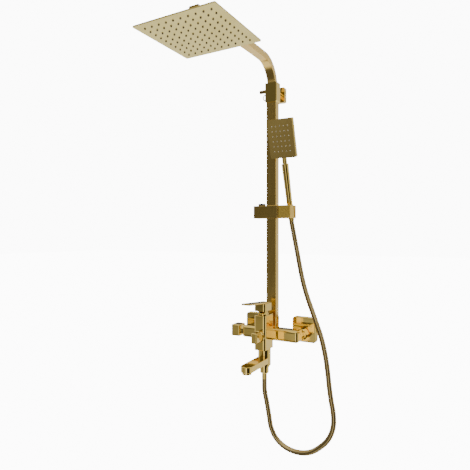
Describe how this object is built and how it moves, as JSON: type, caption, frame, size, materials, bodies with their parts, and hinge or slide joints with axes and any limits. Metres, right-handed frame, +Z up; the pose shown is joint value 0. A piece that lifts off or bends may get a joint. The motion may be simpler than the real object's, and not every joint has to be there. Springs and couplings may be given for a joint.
{
  "type": "rainfall shower column",
  "caption": "Wall-fed bar mixer with a swivel spout, a telescopic square column carrying a square rain head on a bent arm, and a hand shower on a sliding holder with its hose.",
  "frame": {"origin": "midway between the two wall inlets, on the wall plane", "axes": "+X to the right seen from the room, +Y into the wall, +Z up along the column"},
  "size_m": [0.3143, 0.571, 1.0885],
  "materials": {
    "polished_gold": "mirror-polished gold plate",
    "column_gold": "polished gold plate on the tubes",
    "brushed_gold": "fine brushed pale gold steel",
    "hose_gold": "double-lock wound metal hose, gold plated",
    "face_olive": "glossy gold-olive plated plastic",
    "nozzle_cream": "soft silicone",
    "black_plastic": "satin black",
    "black_rubber": "matte seal rubber",
    "white_plastic": "moulded acetal",
    "bare_steel": "zinc-plated or stainless steel"
  },
  "bodies": {
    "root": {"escutcheon_left": "polished_gold", "escutcheon_right": "polished_gold", "union_left": "polished_gold", "union_right": "polished_gold", "union_nut_left": "polished_gold", "union_nut_right": "polished_gold", "union_washers": "black_rubber", "mixer_body": "polished_gold", "cartridge": "white_plastic", "cartridge_nut": "polished_gold", "cartridge_cover": "polished_gold", "outlet_nipple": "polished_gold", "spout_seals": "black_rubber", "riser_coupling": "polished_gold", "riser_tube": "column_gold", "riser_bush": "black_plastic", "bracket_collar": "polished_gold", "bracket_rod": "polished_gold", "bracket_cover": "polished_gold", "bracket_plate": "bare_steel", "wall_screws": "bare_steel", "collar_hook": "polished_gold", "hose_nut_lower": "polished_gold", "hose_ferrule_lower": "polished_gold", "shower_hose": "hose_gold"},
    "carrier": {"cartridge_carrier": "bare_steel"},
    "lever": {"lever_stem": "bare_steel", "lever_handle": "polished_gold", "lever_screw": "black_plastic", "lever_plug": "polished_gold"},
    "side_knob": {"side_plug": "bare_steel", "side_knob": "polished_gold"},
    "front_knob": {"front_plug": "bare_steel", "front_knob": "polished_gold"},
    "spout": {"spout": "polished_gold", "aerator_housing": "polished_gold", "aerator_insert": "black_plastic"},
    "lock_screw": {"lock_screw": "polished_gold"},
    "arm": {"arm_tube": "column_gold", "arm_guide": "black_plastic", "ball_stem": "polished_gold"},
    "seat": {"ball_seat": "white_plastic"},
    "head": {"swivel_nut": "polished_gold", "head_top": "polished_gold", "head_face": "brushed_gold", "head_nozzle_mat": "nozzle_cream"},
    "slider": {"slider_body": "column_gold", "slider_liner": "black_plastic", "button_spring": "bare_steel", "brake_shoe": "white_plastic", "holder_washer": "black_rubber"},
    "release_button": {"release_button": "black_plastic"},
    "holder": {"holder": "polished_gold", "holder_screw": "bare_steel"},
    "handset": {"handset_stick": "polished_gold", "handset_shell": "polished_gold", "handset_face": "face_olive", "handset_nozzle_mat": "nozzle_cream", "hose_nut_upper": "polished_gold", "hose_ferrule_upper": "polished_gold"}
  },
  "joints": [
    {"name": "column_height", "type": "slide", "parent": "root", "child": "arm", "axis": [0, 0, 1], "range_m": [0, 0.26]},
    {"name": "head_tilt_front", "type": "hinge", "parent": "arm", "child": "seat", "pos_m": [0, -0.451, 0.7211], "axis": [1, 0, 0], "range_deg": [-10, 10]},
    {"name": "head_tilt_side", "type": "hinge", "parent": "seat", "child": "head", "pos_m": [0, -0.451, 0.7211], "axis": [0, 1, 0], "range_deg": [-10, 10]},
    {"name": "lock_turn", "type": "hinge", "parent": "root", "child": "lock_screw", "pos_m": [-0.03, -0.0645, 0.686], "axis": [1, 0, 0], "range_deg": [-180, 0]},
    {"name": "slider_height", "type": "slide", "parent": "root", "child": "slider", "axis": [0, 0, 1], "range_m": [-0.25, 0.1], "deforming": ["shower_hose"]},
    {"name": "button_press", "type": "slide", "parent": "slider", "child": "release_button", "axis": [0, 0, -1], "range_m": [0, 0.003], "stiffness_N_per_m": 500, "springref_m": -0.002, "deforming": ["button_spring"]},
    {"name": "holder_tilt", "type": "hinge", "parent": "slider", "child": "holder", "pos_m": [0.03, -0.0645, 0.338], "axis": [1, 0, 0], "range_deg": [-3, 20], "deforming": ["shower_hose"]},
    {"name": "handset_lift", "type": "slide", "parent": "holder", "child": "handset", "axis": [0, -0.3007, 0.9537], "range_m": [0, 0.045], "deforming": ["shower_hose"]},
    {"name": "lever_turn", "type": "hinge", "parent": "root", "child": "carrier", "pos_m": [0, -0.1285, 0.05], "axis": [0, 0, 1], "range_deg": [-45, 45]},
    {"name": "lever_lift", "type": "hinge", "parent": "carrier", "child": "lever", "pos_m": [0, -0.1285, 0.05], "axis": [-1, 0, 0], "range_deg": [0, 18]},
    {"name": "side_diverter_turn", "type": "hinge", "parent": "root", "child": "side_knob", "pos_m": [-0.1, -0.0645, -0.0085], "axis": [-1, 0, 0], "range_deg": [0, 90]},
    {"name": "front_diverter_turn", "type": "hinge", "parent": "root", "child": "front_knob", "pos_m": [0, -0.16, -0.001], "axis": [0, -1, 0], "range_deg": [-90, 90]},
    {"name": "spout_swivel", "type": "hinge", "parent": "root", "child": "spout", "pos_m": [0, -0.12, -0.07], "axis": [0, 0, 1], "range_deg": [-75, 75]}
  ]
}
